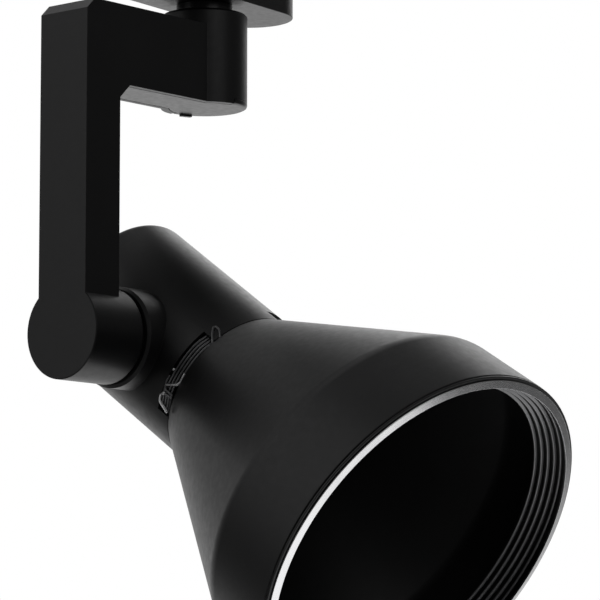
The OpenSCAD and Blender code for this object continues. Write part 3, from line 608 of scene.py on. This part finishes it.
usual_edge = (0.12, 2)  # width in millimetres, segments
edges_of = {
    "adapter_base": (0.9, 4), "adapter_insert": (0.35, 3), "lock_tab": (0.5, 3), "stem_collar": (0.35, 3),
    "arm_shell": (0.9, 4), "arm_cover": (0.35, 3), "lamp_housing": (0.45, 3), "lampholder_body": (0.5, 3),
    "swivel_nut": (0.4, 2), "stem_top_nut": (0.4, 2), "tilt_arm_nut": (0.4, 2), "tilt_head_nut": (0.35, 2),
    "swivel_stem": (0.3, 2), "tilt_tube": (0.3, 2), "tilt_seal_ring": (0.2, 2), "cover_screw": (0.18, 2),
    "adapter_screws": (0.18, 2), "bracket_screws": (0.18, 2), "ground_screw": (0.15, 2),
    "lampholder_rivets": (0.25, 3), "lampholder_bracket": (0.2, 2),
}
drawn_otherwise = {"shade", "front_ring", "retaining_spring", "screw_shell",
                   "adapter_wires", "arm_wires", "head_wires"}
for node in body_of:
    if node in drawn_otherwise:
        continue
    width, segments = edges_of.get(node, usual_edge)
    place(node + "_finished", softened(node, width, segments), body_of[node], slot_of[node], None, node)


def wire_colours(node, colours):
    """The node's separate leads as their own pieces, longest mesh first, each with its own colour."""
    bm = bmesh.new()
    bm.from_mesh(frame["nodes"][node].data)
    bmesh.ops.remove_doubles(bm, verts=bm.verts, dist=WELD)
    groups = []
    seen = set()
    for vert in bm.verts:
        if vert in seen:
            continue
        stack, group = [vert], []
        seen.add(vert)
        while stack:
            v = stack.pop()
            group.append(v)
            for e in v.link_edges:
                w = e.other_vert(v)
                if w not in seen:
                    seen.add(w)
                    stack.append(w)
        groups.append(group)
    groups.sort(key=lambda g: -len(g))
    for i, group in enumerate(groups):
        kept = {v.index for v in group}
        part = bm.copy()
        bmesh.ops.delete(part, geom=[v for v in part.verts if v.index not in kept], context="VERTS")
        colour = colours[min(i, len(colours) - 1)]
        mesh = finish_mesh(f"{node}_{i + 1}", part, None, 50, False)
        place(f"{node}_lead_{i + 1}", mesh, body_of[node], colour, slot_of[node], node)
    bm.free()


wire_colours("adapter_wires", ["wire_insulation", "wire_green", "wire_black"])
wire_colours("arm_wires", ["wire_black", "wire_insulation", "wire_green"])
wire_colours("head_wires", ["wire_black", "wire_insulation"])

# ---- floor, light and camera ----


def stage_plane(name, size, z, color):
    """A pale floor, far enough below for views from under the object."""
    n = Nodes(name)
    n.link(n.blend(n.noise(3, 3), color, tuple(c * 0.97 for c in color)), n.shader.inputs["Base Color"])
    n.shader.inputs["Roughness"].default_value = 0.9
    n.shader.inputs["Emission Color"].default_value = (1, 1, 1, 1)
    n.shader.inputs["Emission Strength"].default_value = 0.55
    mesh = bpy.data.meshes.new(name)
    corners = [(-size, -size, z), (size, -size, z), (size, size, z), (-size, size, z)]
    mesh.from_pydata(corners, [], [(0, 1, 2, 3)])
    mesh.materials.append(n.mat)
    plane = bpy.data.objects.new(name, mesh)
    bpy.context.scene.collection.objects.link(plane)
    # the floor neither brightens the object nor shows in its reflections; it does block light from below
    plane.visible_diffuse = plane.visible_glossy = False


stage_plane("studio_floor", 19, -3, (0.82, 0.82, 0.82))

LIT_CENTRE = Vector((-0.01, -0.05, -0.17))


def softbox(name, direction, distance, size, energy):
    """A rectangular light, hidden from the camera, aimed at the object from a direction."""
    light = bpy.data.lights.new(name, "AREA")
    light.shape = "RECTANGLE"
    light.size, light.size_y = size
    light.energy = energy
    lamp = bpy.data.objects.new(name, light)
    bpy.context.scene.collection.objects.link(lamp)
    lamp.location = LIT_CENTRE + Vector(direction).normalized() * distance
    lamp.rotation_euler = (lamp.location - LIT_CENTRE).to_track_quat("Z", "Y").to_euler()
    lamp.visible_camera = False


softbox("top_softbox", (0.15, 0.45, 1.0), 1.4, (1.0, 1.0), 1.5)
softbox("right_softbox", (0.9, 0.2, 0.62), 1.5, (1.0, 0.8), 3.2)
softbox("back_softbox", (-0.15, 0.9, 0.5), 1.5, (1.2, 0.9), 0.95)
softbox("upper_left_softbox", (-0.65, 0.35, 0.7), 1.5, (1.0, 1.0), 1.7)
softbox("left_softbox", (-1.0, 0.75, 0.12), 1.5, (0.7, 1.2), 1.5)
softbox("front_fill", (-0.35, -1.0, 0.5), 1.9, (1.4, 1.4), 2.3)
softbox("bounce_panel", (0.35, -0.2, -1.0), 0.62, (0.9, 0.9), 2.3)

world = bpy.data.worlds.new("studio")
bpy.context.scene.world = world
world.use_nodes = True
tree = world.node_tree
tree.nodes.clear()
output = tree.nodes.new("ShaderNodeOutputWorld")
seen_by_camera = tree.nodes.new("ShaderNodeBackground")
seen_by_camera.inputs["Color"].default_value = (1, 1, 1, 1)
lights_the_scene = tree.nodes.new("ShaderNodeBackground")
lights_the_scene.inputs["Color"].default_value = (1, 1, 1, 1)
# the camera sees plain white; the object sees a white backdrop behind it and a dim studio elsewhere
where = tree.nodes.new("ShaderNodeTexCoord")
facing = tree.nodes.new("ShaderNodeVectorMath")
facing.operation = "DOT_PRODUCT"
facing.inputs[1].default_value = (0.8, 0.6, -0.05)
tree.links.new(where.outputs["Generated"], facing.inputs[0])
backdrop = tree.nodes.new("ShaderNodeMapRange")
backdrop.interpolation_type = "SMOOTHSTEP"
for key, value in (("From Min", 0.55), ("From Max", 0.98), ("To Min", 0.08), ("To Max", 1.0)):
    backdrop.inputs[key].default_value = value
tree.links.new(facing.outputs["Value"], backdrop.inputs["Value"])
tree.links.new(backdrop.outputs["Result"], lights_the_scene.inputs["Strength"])
path = tree.nodes.new("ShaderNodeLightPath")
choose = tree.nodes.new("ShaderNodeMixShader")
tree.links.new(path.outputs["Is Camera Ray"], choose.inputs["Fac"])
tree.links.new(lights_the_scene.outputs[0], choose.inputs[1])
tree.links.new(seen_by_camera.outputs[0], choose.inputs[2])
tree.links.new(choose.outputs[0], output.inputs["Surface"])
bpy.context.scene.view_settings.view_transform = "Standard"

camera_data = bpy.data.cameras.new("camera")
camera_data.lens = 209.73
camera_data.sensor_width = 36
camera_data.clip_start, camera_data.clip_end = 0.05, 30
camera = bpy.data.objects.new("camera", camera_data)
bpy.context.scene.collection.objects.link(camera)
azimuth, elevation = -55.76, -7.35
camera.location = (-1.04722, -0.75631, -0.30023)
camera.rotation_euler = (radians(90 - elevation), 0, radians(azimuth))
bpy.context.scene.camera = camera
